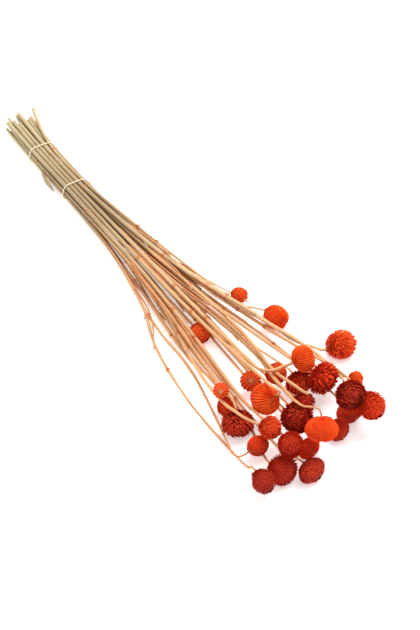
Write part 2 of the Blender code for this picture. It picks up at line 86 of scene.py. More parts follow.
def look_from(item, place, target):
    """Put a camera or a lamp at a place, turned to a target."""
    item.location = place
    item.rotation_euler = (place - target).to_track_quat("Z", "Y").to_euler()
    bpy.context.scene.collection.objects.link(item)


bpy.context.scene.view_settings.view_transform = "Standard"

lens = bpy.data.cameras.new("camera")
lens.lens = FOCAL_LENGTH
lens.sensor_width = SENSOR
lens.clip_start = 10 * MM
camera = bpy.data.objects.new("camera", lens)
look_from(camera, LOOKED_AT + toward(PHOTO_TURN, PHOTO_RISE) * PHOTO_DISTANCE, LOOKED_AT)
bpy.context.scene.camera = camera

for name, turn, rise, distance, across, power in LAMPS:
    lamp = bpy.data.lights.new(name, "AREA")
    lamp.size = across
    lamp.energy = power
    look_from(bpy.data.objects.new(name, lamp), LOOKED_AT + toward(turn, rise) * distance, LOOKED_AT)

sky = bpy.data.worlds.new("studio")
sky.use_nodes = True
sky.node_tree.nodes["Background"].inputs["Color"].default_value = (1.0, 1.0, 1.0, 1.0)
sky.node_tree.nodes["Background"].inputs["Strength"].default_value = SKY_STRENGTH
bpy.context.scene.world = sky


class Flow:
    """A value on its way through a material. Arithmetic adds Math nodes to it, and `node` any other."""

    def __init__(self, socket):
        self.socket = socket

    def node(self, kind, settings, values, output=0):
        """Add a node of one type: its settings come first, then the values or links of its sockets. The
        setting `stops` holds the places and colours of a colour ramp."""
        tree = self.socket.id_data
        made = tree.nodes.new(kind)
        for name, value in settings.items():
            if name == "stops":
                ramp = made.color_ramp.elements
                for stop in value[1:-1]:
                    ramp.new(stop[0])
                for element, (place, colour) in zip(ramp, value):
                    element.position = place
                    element.color = (*colour, 1.0)
            else:
                setattr(made, name, value)
        for name, value in values.items():
            if isinstance(value, Flow):
                tree.links.new(value.socket, made.inputs[name])
            else:
                made.inputs[name].default_value = value
        return Flow(made.outputs[output])

    def maths(self, operation, first, second, clamp=False):
        return self.node("ShaderNodeMath", {"operation": operation, "use_clamp": clamp},
                         {0: first, 1: second})

    def __add__(self, other):
        return self.maths("ADD", self, other)

    def __sub__(self, other):
        return self.maths("SUBTRACT", self, other)

    def __rsub__(self, other):
        return self.maths("SUBTRACT", other, self)

    def __mul__(self, other):
        return self.maths("MULTIPLY", self, other)

    __radd__ = __add__
    __rmul__ = __mul__

    def clamped(self):
        """The value kept between 0 and 1."""
        return self.maths("ADD", self, 0.0, clamp=True)

    def blend(self, start, end):
        """A colour that goes from start to end as this value goes from 0 to 1."""
        return self.node("ShaderNodeMix", {"data_type": "RGBA"}, {0: self, 6: start, 7: end}, output=2)

    def ramp(self, stops):
        """A colour read off a ramp. Each stop is its place and its colour, and the places rise."""
        return self.node("ShaderNodeValToRGB", {"stops": stops}, {0: self})

    def noise(self, scale, detail=2.0, roughness=0.5):
        """Noise over the place that this flow gives."""
        return self.node("ShaderNodeTexNoise", {}, {"Vector": self, "Scale": scale, "Detail": detail,
                                                    "Roughness": roughness})

    def stretched(self, scale):
        """The place that this flow gives, times a scale along each axis."""
        return self.node("ShaderNodeMapping", {}, {"Vector": self, "Scale": scale})

    def part(self, axis):
        """One of the three numbers of a place."""
        return self.node("ShaderNodeSeparateXYZ", {}, {"Vector": self}, output=axis)

    def bump(self, strength, distance):
        """A normal that rises and falls with this value."""
        return self.node("ShaderNodeBump", {}, {"Strength": strength, "Distance": distance, "Height": self})


def new_material(name, **constants):
    """A new material, its shader with constants on its own sockets, and the flow to start others from."""
    made = bpy.data.materials.new(name)
    made.use_nodes = True
    shader = made.node_tree.nodes["Principled BSDF"]
    for socket, value in constants.items():
        shader.inputs[socket.replace("_", " ")].default_value = value
    return made, shader, Flow(shader.outputs["BSDF"])


def own_place(start):
    """The place on the piece, in metres."""
    return start.node("ShaderNodeTexCoord", {}, {}, output="Object")


def feed(shader, **flows):
    """Link flows to a shader's sockets, whose names have _ for a space."""
    for socket, flow in flows.items():
        shader.id_data.links.new(flow.socket, shader.inputs[socket.replace("_", " ")])


def lay(name, points, faces, material, uv=None, **attributes):
    """A mesh object at the origin from rows of points in metres and rows of corner numbers."""
    mesh = bpy.data.meshes.new(name)
    mesh.from_pydata(points.reshape(-1, 3), [], faces)
    mesh.materials.append(material)
    corners = np.empty(len(mesh.loops), np.int32)
    mesh.loops.foreach_get("vertex_index", corners)
    if uv is not None:
        layer = mesh.uv_layers.new(name="UVMap")
        layer.data.foreach_set("uv", uv.reshape(-1, 2)[corners].astype(np.float32).ravel())
    for title, values in attributes.items():
        layer = mesh.attributes.new(title, "FLOAT", "POINT")
        layer.data.foreach_set("value", values.astype(np.float32).ravel())
    mesh.validate()
    item = bpy.data.objects.new(name, mesh)
    bpy.context.scene.collection.objects.link(item)
    return item


card, shader, start = new_material("white_card", Roughness=0.9)
shader.inputs["Emission Color"].default_value = (1.0, 1.0, 1.0, 1.0)
shader.inputs["Emission Strength"].default_value = CARD_GLOW
mottle = own_place(start).noise(40.0)
feed(shader, Base_Color=mottle.blend((0.93, 0.93, 0.92, 1.0), (0.95, 0.95, 0.945, 1.0)))
corners = np.array([(-1, -1, 0), (1, -1, 0), (1, 1, 0), (-1, 1, 0)]) * HALF_CARD
lay("card", corners - (0, 0, CARD_DROP), [(0, 1, 2, 3)], card)


# Stems. Dried stalks of one grown piece each, angular and finely grooved, with swollen reddish joints, and
# paler and greener towards the cut ends. They lie where the frame's stems lie, and the bands hold them.

STEP = 2.0 * MM                              # between the rings of a stem
REACH = 3.4 * MM                             # no stem's side is so far from its middle
NARROW_RADII, NARROW_MORE = 2.4, 0.6 * MM    # a narrow cut reaches so many radii and this
LONGEST = 320                                # steps along the longest stem
SHARPEST = 7.0 * MM                          # the next ring is this near where a stem turns sharply
PASSED_RADII, PASSED_MORE = 2, 0.4 * MM      # a corner so near the line is on a ring that it has passed
FEWEST = 4                                   # points that give an outline or a ring
END_STEPS, END_LEAST = 1.6, 0.1 * MM         # the end's corners lie so near the last cut; least way to it
FRAME_SIDES = 6                              # a frame stem is six-sided
HEXAGON = 1.06                               # a six-sided ring is this much wider than its mean radius
ROUND_AT_HEAD, ROUND_BELOW = 2.2 * MM, 12 * MM   # reach of the rounding of its bends
BELOW_FROM, BELOW_OVER = 60 * MM, 120 * MM   # from the head to where that widens, and over how far
THIN_WINDOW, THIN_EASE = 11, 14 * MM         # the radius is the least of so many, eased over a reach
JOINT_CLEAR = 50 * MM                        # no joint of the frame is so near an end
JOINT_SHARES = (0.24, 0.66), (0.5, 0.88)     # least and greatest share of the way to two more joints
SEAT_GAP = 0.3 * MM                          # from a stem's end to its head
FORK_GAP = 0.8 * MM                          # a side shoot's line joins the stem's where it is so near

STEM_SIDES = 12
GROOVES, GROOVE = 4, 0.10                    # how many, and their depth as a share of the radius
GROOVE_TWIST = 6.0                           # radians per metre
WOBBLE, WOBBLE_RATE = 0.04, 210              # share of the radius, radians per metre
SWELL, SWELL_REACH = 0.30, 1.7 * MM          # of a joint: how much wider it is, and how long
UV_PER_METRE = 40
AGE_AT_HEAD, AGE_REACH = 1.05, 0.42          # the straw's age at the head; it falls by 1 in so many metres
TONE, TONE_PER_METRE, TONE_SPREAD = 0.68, 9, 0.18    # paler to +Y, and uneven from stem to stem

SPUR_SIDES = 5
SPUR_LEAN, SPUR_LENGTH = (0.5, 1.3), (0.9, 2.6)      # forward for each unit outward; millimetres
SPUR_SHARES = np.array([0.0, 0.6, 1.0])[:, None, None]
SPUR_RADII = np.array([0.75, 0.55, 0.25])[:, None, None] * MM
SPUR_SUNK = 0.7                              # its root is at this share of the stem's radius
SPUR_KNOT = (0.9, 0.7, 0.35)                 # how red it is from root to tip

SHOOTS_PER_STEM = 3
SHOOT_SIDES, SHOOT_ROWS = 5, 14
SHOOT_FROM, SHOOT_LENGTH = (0.16, 0.34), (0.05, 0.13)    # metres from the head; metres
SHOOT_CLEAR = 0.17                           # no broken shoot starts so near the cut end, in metres
SHOOT_RADIUS, SHOOT_THINNER = 0.95, 0.3      # at its root, and less at its tip by this, in millimetres
SHOOT_BESIDE, SHOOT_GAP = 0.8, 0.9 * MM      # it runs at so many of the stem's radii and this
SHOOT_SWAY, SHOOT_SWING = (1.5, 4.0), 0.7    # how fast it turns round the stem, and how far, in radians
SHOOT_LEAVES = 9                             # it is clear of the stem a ninth of its length on
SHOOT_DRIFT, SHOOT_POWER = (0.02, 0.12), 1.6     # the drift as a share of its length, and how late it comes
SHOOT_FLAT = 0.5                             # how far above or below the stem for each unit beside it
SHOOT_HEIGHT = 1.4 * MM                      # it lies at least so high above the surface
SHOOT_KNOT = np.linspace(0.35, 0.02, SHOOT_ROWS)

LEAF_STEM = "stem_01"
LEAF_WAY = np.array([(-179.1, -25.5, 6.0), (-176.5, -29.0, 7.4), (-173.0, -31.4, 7.2), (-167.0, -32.8, 6.2),
                     (-160.0, -33.4, 5.4), (-153.0, -33.6, 4.4), (-149.0, -33.0, 3.4)]) * MM
LEAF_HALF_WIDTHS = np.array([0.8, 1.9, 1.2, 1.5, 2.0, 1.6, 0.3]) * MM
LEAF_ROWS, LEAF_EASE = 25, 3 * MM
LEAF_FOLD, LEAF_HALF_THICK = 0.6, 0.25 * MM  # its edges rise by this share of its half width
LEAF_WAVE, LEAF_WAVE_RATE = 0.35 * MM, 21    # height of a wave, and radians along the leaf
LEAF_AGE = 0.1

STEM_HEADS = {                               # head of each stem, none on the loose one, and of a side shoot
    "stem_01": ("head_18", "head_16"), "stem_02": ("head_11",), "stem_03": ("head_10",),
    "stem_04": ("head_09",), "stem_05": ("head_17",), "stem_06": ("head_12",), "stem_07": ("head_20",),
    "stem_08": ("head_15",), "stem_09": ("head_07",), "stem_10": ("head_08",), "stem_11": ("head_26",),
    "stem_12": ("head_13",), "stem_13": ("head_19",), "stem_14": ("head_14",), "stem_15": ("head_25",),
    "stem_16": ("head_27",), "stem_17": ("head_28",), "stem_18": (None,), "stem_19": ("head_04",),
    "stem_20": ("head_06",), "stem_21": ("head_05",), "stem_22": ("head_24",),
    "stem_23": ("head_22", "head_21"), "stem_24": ("head_23",), "stem_25": ("head_03",),
    "stem_26": ("head_02",), "stem_27": ("head_01",),
}

GREEN_STRAW, WARM_STRAW = (0.53, 0.455, 0.27, 1.0), (0.74, 0.38, 0.175, 1.0)
PALE_STRAW, RUSTY_STRAW = (0.74, 0.52, 0.31, 1.0), (0.58, 0.22, 0.075, 1.0)
DARK_STRAW, STRAW_IN_PAINTED_SHADE = (0.34, 0.17, 0.065, 1.0), (0.22, 0.145, 0.08, 1.0)
RED_JOINT = (0.46, 0.10, 0.026, 1.0)
# Painted shade on the straw, strongest over the middle of the bunch around the ties and faint elsewhere: it
# darkens to the last colour above, as strongly as the ramp below gives along the bunch.
PAINTED_SHADE_PER_METRE, PAINTED_SHADE_SHIFT = 3.1, 0.84       # place along the bunch, from cut ends to fan, on the ramp
PAINTED_SHADE_STOPS = ((0.0, 0.2), (0.2, 0.5), (0.37, 0.85), (0.5, 1.0), (0.6, 0.85), (0.72, 0.5), (0.85, 0.25),
        (1.0, 0.15))


def carried_value(start, title):
    """A value that the mesh carries at its corners."""
    return start.node("ShaderNodeAttribute", {"attribute_name": title}, {}, output="Fac")


straw, shader, start = new_material("dried_straw", Roughness=0.62, Specular_IOR_Level=0.15)
uv = start.node("ShaderNodeUVMap", {"uv_map": "UVMap"}, {})
place = own_place(start)
age, knot, tone = (carried_value(start, title) for title in ("age", "knot", "tone"))
fibres = uv.stretched((26.0, 9.0, 1.0)).noise(1.0, 3.0, 0.6)
streaks = uv.stretched((5.0, 2.2, 1.0)).noise(1.0)
blotches = place.noise(55.0)
warm = (age * 1.15 + streaks * 0.6 - 0.35).clamped()
colour = warm.blend(GREEN_STRAW, WARM_STRAW)
pale = ((tone - 0.5) * 1.1 + fibres * 0.3 - 0.14).clamped()
colour = pale.blend(colour, PALE_STRAW)
rusty = ((0.42 - tone) * 2.2 * age + (streaks - 0.5) * 0.6 * age).clamped()
colour = rusty.blend(colour, RUSTY_STRAW)
dark = ((blotches - 0.58) * 3.5 + (fibres - 0.52) * 2.4).clamped()
colour = (dark * 0.6).blend(colour, DARK_STRAW)
# Painted shade, strongest over the middle of the bunch around the ties.
painted_shade = (place.part("X") * PAINTED_SHADE_PER_METRE + PAINTED_SHADE_SHIFT).ramp([(at, (grey,) * 3) for at, grey in PAINTED_SHADE_STOPS])
colour = (painted_shade * 0.6).blend(colour, STRAW_IN_PAINTED_SHADE)
colour = (knot * (age * 1.3 + 0.12)).clamped().blend(colour, RED_JOINT)
feed(shader, Base_Color=colour, Roughness=fibres * 0.3 + 0.5, Normal=fibres.bump(0.5, 0.5 * MM))

seats = {}                                   # place and direction of each head on its stem
draw = np.random.default_rng(11)


def unit(vectors):
    """The vectors at length 1."""
    return vectors / np.linalg.norm(vectors, axis=-1, keepdims=True)


def corners_of(node):
    """The triangles of a frame node, as an array of corner places."""
    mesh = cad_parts[node].data
    mesh.calc_loop_triangles()
    places = np.empty(len(mesh.vertices) * 3)
    mesh.vertices.foreach_get("co", places)
    numbers = np.empty(len(mesh.loop_triangles) * 3, np.int32)
    mesh.loop_triangles.foreach_get("vertices", numbers)
    return places.reshape(-1, 3)[numbers].reshape(-1, 3, 3)


def cut(triangles, place, heading, reach):
    """Middle and mean radius of the outline in which a plane cuts the triangles, close to a place."""
    heights = (triangles - place) @ heading
    ends = []
    for k in range(3):
        low, high = heights[:, k], heights[:, (k + 1) % 3]
        crossed = low * high < 0
        share = low[crossed] / (low[crossed] - high[crossed])
        first, second = triangles[crossed, k], triangles[crossed, (k + 1) % 3]
        ends.append(first + (second - first) * share[:, None])
    points = np.concatenate(ends)
    points = points[np.linalg.norm(points - place, axis=1) < reach]
    if len(points) < FEWEST:
        return None, 0.0
    middle = points.mean(axis=0)
    return middle, np.linalg.norm(points - middle, axis=1).mean()


def middle_line(node, beyond):
    """Middle line of a stem from the end next to a place down to its cut end, and its radius all along.
    Each step cuts the stem a little farther on, first within a narrow reach and then within a wide one.
    Where neither finds it, the stem turns sharply, and the line goes on to corners not passed yet."""
    triangles = corners_of(node)
    rings = np.unique(np.round(triangles.reshape(-1, 3), 5), axis=0)
    rings = rings[np.argsort(np.linalg.norm(rings - beyond, axis=1))]
    end, neck = rings[:FRAME_SIDES].mean(axis=0), rings[FRAME_SIDES:2 * FRAME_SIDES].mean(axis=0)
    heading = (neck - end) / np.linalg.norm(neck - end)
    line, radii = [end], [np.linalg.norm(rings[:FRAME_SIDES] - end, axis=1).mean()]
    for _ in range(LONGEST):
        for reach in (NARROW_RADII * radii[-1] + NARROW_MORE, REACH):
            middle, radius = cut(triangles, line[-1] + heading * STEP, heading, min(reach, REACH))
            if middle is not None:
                break
        else:
            passed = np.linalg.norm(rings[:, None] - np.array(line), axis=2).min(axis=1)
            ahead = rings[passed > PASSED_RADII * radii[-1] + PASSED_MORE]
            ahead = ahead[np.linalg.norm(ahead - line[-1], axis=1) < SHARPEST]
            if len(ahead) < FEWEST:
                break
            heading = unit(ahead.mean(axis=0) - line[-1])
            middle, radius = cut(triangles, line[-1] + heading * STEP, heading, REACH)
            if middle is None:
                break
        step = middle - line[-1]
        heading = unit(heading + unit(step))
        line.append(middle)
        radii.append(radius)
    near = rings[np.linalg.norm(rings - line[-1], axis=1) < STEP * END_STEPS]
    line.append(line[-1] + heading * max(((near - line[-1]) @ heading).max(), END_LEAST))
    radii.append(radii[-1])
    return np.array(line), np.array(radii)


def eased(line, reach):
    """The line with its corners rounded over a reach in metres, its two ends kept: each point becomes a
    mean of its neighbours, weighted by a bell of their distance."""
    half = max(int(3 * reach / STEP), 1)
    weights = np.exp(-0.5 * (np.arange(-half, half + 1) * STEP / reach) ** 2)
    weights /= weights.sum()
    before = 2 * line[0] - line[half:0:-1]
    after = 2 * line[-1] - line[-2:-half - 2:-1]
    long = np.concatenate([before, line, after])
    return np.stack([np.convolve(long[:, k], weights, "valid") for k in range(line.shape[1])], axis=1)


def along(line):
    """Distance of each point of a line from its first."""
    return np.concatenate([[0], np.cumsum(np.linalg.norm(np.diff(line, axis=0), axis=1))])


def carried(line):
    """Two unit vectors square to a line at each of its points, turned as little as it can be."""
    tangents = np.gradient(line, axis=0)
    tangents /= np.linalg.norm(tangents, axis=1)[:, None]
    sides = []
    side = np.cross((0.0, 0.0, 1.0), tangents[0])
    for tangent in tangents:
        side = side - tangent * (side @ tangent)
        side /= np.linalg.norm(side)
        sides.append(side)
    sides = np.array(sides)
    return sides, np.cross(tangents, sides)


def circle(count):
    """The cosines and sines of so many even turns."""
    turn = np.linspace(0, math.tau, count, endpoint=False)
    return np.cos(turn)[:, None], np.sin(turn)[:, None]


def read_at(places, run, rows):
    """The rows of an array, read at places between the distances to which they belong."""
    return np.stack([np.interp(places, run, rows[:, k]) for k in range(3)], axis=1)


def grid_faces(rows, columns, closed=True):
    """Corner numbers of the faces between the rows of a tube, and of its two end caps."""
    row, column = np.meshgrid(np.arange(rows - 1), np.arange(columns), indexing="ij")
    beside = (column + 1) % columns
    quads = np.stack([row * columns + column, row * columns + beside,
                      (row + 1) * columns + beside, (row + 1) * columns + column], axis=-1)
    faces = quads.reshape(-1, 4).tolist()
    if closed:
        faces.append(list(range(columns))[::-1])
        faces.append(list(range((rows - 1) * columns, rows * columns)))
    return faces


def moved_on(faces, count):
    """Corner numbers for a mesh that follows so many corners of another."""
    return [[corner + count for corner in face] for face in faces]


def grown_line(stem, beyond):
    """Middle line of a stem with its corners rounded, the distance of its points from the head, its radius
    with the swellings left out, and where its first joint is: at the frame stem's thickest place."""
    line, radii = middle_line(stem, beyond)
    run = along(line)
    below = np.clip((run - BELOW_FROM) / BELOW_OVER, 0, 1)[:, None]
    line = eased(line, ROUND_AT_HEAD) * (1 - below) + eased(line, ROUND_BELOW) * below
    padded = np.pad(radii, THIN_WINDOW // 2, mode="edge")
    windows = np.lib.stride_tricks.sliding_window_view(padded, THIN_WINDOW)
    thin = eased(windows.min(axis=1)[:, None], THIN_EASE)[:, 0]
    inner = (run > JOINT_CLEAR) & (run < run[-1] - JOINT_CLEAR)
    return line, run, thin, run[np.where(inner, radii / thin, 0).argmax()]


def stalk(line, radii, phase, swellings):
    """Rings square to the line. A ring's radius is the stem's, times 1 plus four shallow grooves that turn
    slowly along it, plus a bell-shaped swelling at each joint, plus a slight wobble."""
    run = along(line)
    side, up = carried(line)
    turn = np.linspace(0, math.tau, STEM_SIDES, endpoint=False)
    bell = sum(np.exp(-((run - swelling) / SWELL_REACH) ** 2) for swelling in swellings)
    wave = np.cos(GROOVES * turn[None] + phase + run[:, None] * GROOVE_TWIST) * GROOVE
    wobble = WOBBLE * np.sin(run * WOBBLE_RATE + phase * 3)
    radius = radii[:, None] * (1 + wave + SWELL * bell[:, None] + wobble[:, None])
    cosine, sine = circle(STEM_SIDES)
    points = line[:, None] + (cosine * side[:, None] + sine * up[:, None]) * radius[..., None]
    uv = np.stack(np.broadcast_arrays(turn[None] / math.tau, run[:, None] * UV_PER_METRE), axis=-1)
    return points, uv, bell


def spurs(line, radii, swellings):
    """Pairs of short broken leaf stalks at the joints: five-sided cones that lean forward from the stem."""
    run = along(line)
    side, up = carried(line)
    cosine, sine = circle(SPUR_SIDES)
    cones = []
    for swelling in swellings:
        row = int(np.abs(run - swelling).argmin())
        row = min(max(row, 1), len(line) - 2)
        ahead = unit(line[row - 1] - line[row + 1])
        first = draw.uniform(0, math.tau)
        for lean in (first, first + math.pi):
            outward = np.cos(lean) * side[row] + np.sin(lean) * up[row]
            way = unit(outward + ahead * draw.uniform(*SPUR_LEAN))
            length = draw.uniform(*SPUR_LENGTH) * MM
            flank = unit(np.cross(way, ahead))
            ring = cosine * flank + sine * np.cross(way, flank)
            root = line[row] + outward * radii[row] * SPUR_SUNK
            cones.append(root + way * length * SPUR_SHARES + ring * SPUR_RADII)
    return cones


def side_shoot(line, radii, joint, length):
    """A thin broken side shoot, thinning evenly. It starts in its joint, comes clear of the stem within a
    ninth of its length and runs beside it towards the head, turning round it by a slow sine and drifting
    away by a power of the way along. It lies flatter than it is wide, and above the surface."""
    run = along(line)
    side, up = carried(line)
    share = np.linspace(0, 1, SHOOT_ROWS)
    reach = np.maximum(joint - share * length, 0)
    first, sway = draw.uniform(0, math.tau), draw.uniform(*SHOOT_SWAY)
    turn = (first + np.sin(share * sway) * SHOOT_SWING)[:, None]
    beside = np.interp(reach, run, radii) * SHOOT_BESIDE + SHOOT_GAP
    drift = share ** SHOOT_POWER * length * draw.uniform(*SHOOT_DRIFT)
    away = beside * np.minimum(share * SHOOT_LEAVES, 1) + drift
    across, above = read_at(reach, run, side), read_at(reach, run, up)
    outward = np.cos(turn) * across + np.sin(turn) * above * SHOOT_FLAT
    middle = read_at(reach, run, line) + outward * away[:, None]
    middle[:, 2] = np.maximum(middle[:, 2], SHOOT_HEIGHT)
    flank, lift = carried(middle)
    cosine, sine = circle(SHOOT_SIDES)
    spread = cosine * flank[:, None] + sine * lift[:, None]
    return middle[:, None] + spread * (SHOOT_RADIUS - SHOOT_THINNER * share)[:, None, None] * MM


def withered_leaf(way, half_widths):
    """A dry leaf that hangs from its joint: a strip along its eased way, folded along the middle, its half
    width going evenly from one given width to the next and its two edges waved by a sine."""
    share = np.linspace(0, 1, LEAF_ROWS)
    given = np.linspace(0, 1, len(way))
    middle = eased(read_at(share, given, way), LEAF_EASE)
    side, up = carried(middle)
    wide = np.interp(share, given, half_widths)[:, None]
    wave = np.sin(share * LEAF_WAVE_RATE)[:, None] * LEAF_WAVE
    rim = [middle + side * wide + up * (LEAF_FOLD * wide + wave), middle + up * LEAF_HALF_THICK,
           middle - side * wide + up * (LEAF_FOLD * wide - wave), middle - up * LEAF_HALF_THICK]
    return np.stack(rim, axis=1)


def joined(tubes):
    """One mesh from several tubes. Each is its rings, the uv of its corners or none, and the age and the
    knot of each ring or of them all."""
    faces, columns, count = [], [], 0
    for rings, uv, age, knot in tubes:
        rows, sides = rings.shape[:2]
        faces += moved_on(grid_faces(rows, sides), count)
        count += rows * sides
        uv = np.zeros((rows, sides, 2)) if uv is None else uv
        values = [np.repeat(np.broadcast_to(value, rows), sides) for value in (age, knot)]
        columns.append((rings.reshape(-1, 3), uv.reshape(-1, 2), *values))
    points, uv, ages, knots = (np.concatenate(column) for column in zip(*columns))
    return points, faces, uv, ages, knots


for stem, tips in STEM_HEADS.items():
    stalks, broken, shoots, trunk = [], [], [], None
    for head in tips:
        if head is None:
            beyond = np.array(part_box(stem)[1])
        else:
            beyond = np.array(sum(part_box(head), Vector())) / 2
        line, run, thin, joint = grown_line(stem, beyond)
        if head is not None:
            axis = unit(corners_of(head).reshape(-1, 3).mean(axis=0) - line[0])
            seats[head] = line[0] + axis * SEAT_GAP, axis
        joints = [joint, *draw.uniform(*JOINT_SHARES) * run[-1]]
        radii = thin * HEXAGON
        if trunk is None:
            trunk = line
        else:
            apart = np.linalg.norm(line[:, None] - trunk[None], axis=2).min(axis=1)
            together = np.flatnonzero(apart < FORK_GAP)
            fork = together[0] if len(together) else len(line) - 1
            line, radii, run = line[:fork + 2], radii[:fork + 2], run[:fork + 2]
        rings, uv, bell = stalk(line, radii, draw.uniform(0, math.tau), joints)
        stalks.append((rings, uv, np.clip(AGE_AT_HEAD - run / AGE_REACH, 0, 1), bell))
        cones = spurs(line, radii, [joint for joint in joints if joint < run[-1]])
        broken += [(cone, None, 1.0, SPUR_KNOT) for cone in cones]
        for joint in draw.uniform(*SHOOT_FROM, SHOOTS_PER_STEM):
            if joint < run[-1] - SHOOT_CLEAR:
                shoot = side_shoot(line, radii, joint, draw.uniform(*SHOOT_LENGTH))
                shoots.append((shoot, None, 1.0, SHOOT_KNOT))
    tubes = stalks + broken + shoots
    if stem == LEAF_STEM:
        tubes.append((withered_leaf(LEAF_WAY, LEAF_HALF_WIDTHS), None, LEAF_AGE, 0.0))
    points, faces, uv, ages, knots = joined(tubes)
    stem_tone = TONE + trunk[:, 1].mean() * TONE_PER_METRE + draw.normal(0, TONE_SPREAD)
    item = lay(stem + "_stalk", np.clip(points, *cad_box), faces, straw, uv, age=ages, knot=knots,
               tone=np.full(len(points), np.clip(stem_tone, 0, 1)))
    item.data.polygons.foreach_set("use_smooth", np.ones(len(item.data.polygons), bool))
    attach(item, "root")
    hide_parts(stem)


# Heads. Each is a tight globe of papery bracts, folded along a keel and pointed, that overlap from the stem
# up to the top and hide a small core. In some the keels stand in line as pleats, in others each bract is a
# tuft of its own. Painted highlight brightens the dye on keels and tips, and painted shade deepens it
# between them and on each head's lower side.

# Head, way of growing, bracts or ridges, dye from 0 for orange to 1 for crimson, dark share of its top, and
# how far painted shade deepens the dye from the upper side to the lower one
HEADS = (
    ("head_01", "smooth", 300, 0.10, 0.0, 0.2), ("head_02", "ribbed", 32, 0.16, 0.0, 0.3),
    ("head_03", "shaggy", 620, 0.24, 0.0, 0.7), ("head_04", "ribbed", 32, 0.04, 0.0, 0.35),
    ("head_05", "spiky", 460, 0.50, 0.25, 0.45), ("head_06", "shaggy", 380, 0.22, 0.0, 0.3),
    ("head_07", "star", 15, 0.05, 0.0, 0.3), ("head_08", "ribbed", 30, 0.06, 0.0, 0.3),
    ("head_09", "star", 14, 0.05, 0.0, 0.2), ("head_10", "net", 300, 0.42, 0.2, 0.3),
    ("head_11", "shaggy", 560, 0.82, 0.2, 0.2), ("head_12", "net", 420, 0.30, 0.0, 0.5),
    ("head_13", "shaggy", 620, 0.80, 0.2, 0.1), ("head_14", "ribbed", 42, 0.24, 0.0, 0.6),
    ("head_15", "net", 360, 0.52, 0.3, 0.3), ("head_16", "smooth", 420, 0.68, 0.0, 0.9),
    ("head_17", "dots", 300, 0.74, 0.15, 0.1), ("head_18", "dots", 290, 0.90, 0.5, 0.1),
    ("head_19", "ribbed", 28, 0.60, 0.0, 0.2), ("head_20", "smooth", 420, 0.95, 0.0, 0.2),
    ("head_21", "smooth", 300, 0.08, 0.0, 0.3), ("head_22", "shaggy", 620, 0.92, 0.35, 0.1),
    ("head_23", "net", 420, 0.46, 0.0, 0.1), ("head_24", "ribbed", 32, 0.85, 0.3, 0.0),
    ("head_25", "net", 330, 0.70, 0.0, 0.2), ("head_26", "smooth", 360, 0.10, 0.0, 0.1),
    ("head_27", "shaggy", 420, 0.84, 0.3, 0.1), ("head_28", "smooth", 340, 0.12, 0.0, 0.1),
)
CRIMSON_HEADS = ("head_05", "head_11", "head_13", "head_15", "head_17", "head_18", "head_20", "head_22",
                 "head_24", "head_27")
# A way of growing: how far below its tip a bract is rooted (degrees), depths of its root and tip as shares
# of the way out, how it rises from one to the other, keel height and half width in millimetres, how
# unevenly it stands (degrees), and how much of its painted highlight and shade follows the keel instead of
# the tip
Way = namedtuple("Way", "below root top power keel_height half_width uneven pleated")
WAYS = {
    "ribbed": Way(34, 0.90, 1.02, 0.45, 1.45, 1.0, 2.0, 1.0),
    "star": Way(40, 0.90, 1.02, 0.5, 0.85, 1.5, 2.0, 0.85),
    "smooth": Way(24, 0.86, 1.03, 0.6, 0.5, 0.8, 6.0, 0.3),
    "net": Way(15, 0.83, 1.05, 0.8, 0.7, 0.85, 7.0, 0.2),
    "dots": Way(11, 0.84, 1.03, 0.9, 0.6, 0.8, 3.0, 0.1),
    "shaggy": Way(15, 0.80, 1.07, 0.85, 0.6, 0.9, 13.0, 0.2),
    "spiky": Way(13, 0.76, 1.12, 1.0, 0.5, 0.85, 17.0, 0.2),
}
# Bracts along a ridge, latitude of its top in degrees, and bracts in the crown above the ridges
RIDGES = {"ribbed": (13, 62, 46), "star": (8, 80, 0)}
RIDGE_FOOT, CROWN_OVERLAP = -64, 4           # degrees: latitude of the lowest tips; crown below ridge tops
RIDGE_LEAN, RIDGE_SWAY, RIDGE_SWAYS = 0.22, 0.02, 7      # how far, in radians, and how fast ridges stray
SPIRAL_FOOT, SPIRAL_SPAN = -0.94, 1.93       # lowest height of a tip and the span of all, in half lengths
GOLDEN_ANGLE = math.pi * (3 - math.sqrt(5))
LUMPS = 0.022                                # how far a head is out of round, as a share of its radius
KEEL_ROWS = 5                                # rings along a bract
USUAL_RADIUS = 11 * MM                       # of a head whose bracts have just the half width given above
BRACT_THICK = 0.28 * MM
BRACT_WIDTHS = 0.85, 1.15                    # least and greatest width, as shares of the usual one
STRAY = 0.35                                 # how far tips stray, as a share of how unevenly bracts stand
DEPTH_STRAY, DEPTH_PER_DEGREE = 0.008, 0.0016    # likewise in depth: in all heads, and for each degree
DEPTH_LIMITS = -0.07, 0.035                  # no farther in or out than this
STRAY_LATITUDE, CROWD_LATITUDE = 0.35, 0.16  # cosines: nearer a pole, both are as at this latitude
RIDGE_WIDER, RIDGE_CROWD = 1.2, 0.8          # bracts on a ridge are wider, up to this share of its space
CORE_ROWS, CORE_SIDES, CORE_POLE = 17, 28, 88    # rings from one latitude to the other, in degrees
CORE_CLEAR = 0.015                           # the core lies this much farther out than the bracts' roots
CUP_ROWS = 7                                 # rings along a leaf under a head
CUP_ROOT, CUP_RISE = -80, 27                 # latitude of its root, and degrees from there to its tip
CUP_HALF_WIDTH, CUP_KEEL, CUP_UNDER = 1.2 * MM, 0.3 * MM, 0.05 * MM

HEART_FROM, HEART_OVER = 0.55, 0.35          # in half lengths: where a dark top starts, and over how far
TUFT_FROM, TUFT_OVER, TUFT_WOOL = 0.87, 0.06, 0.8    # the pale tuft on a star of pleats, and how pale
SEAT_FROM, SEAT_OVER, SEAT_WOOL = 0.93, 0.05, 0.4    # the pale seat of all heads but the ribbed ones
CUP_HEART, CUP_WOOL = 0.5, 0.12              # how dark and how pale the leaves under a head are
# Painted shade: the dye deepens towards a head's lower side.
PAINTED_SHADE_AT_MIDDLE, PAINTED_SHADE_FALL = 0.25, 0.5             # share of the deepening at mid height, and less a radius up
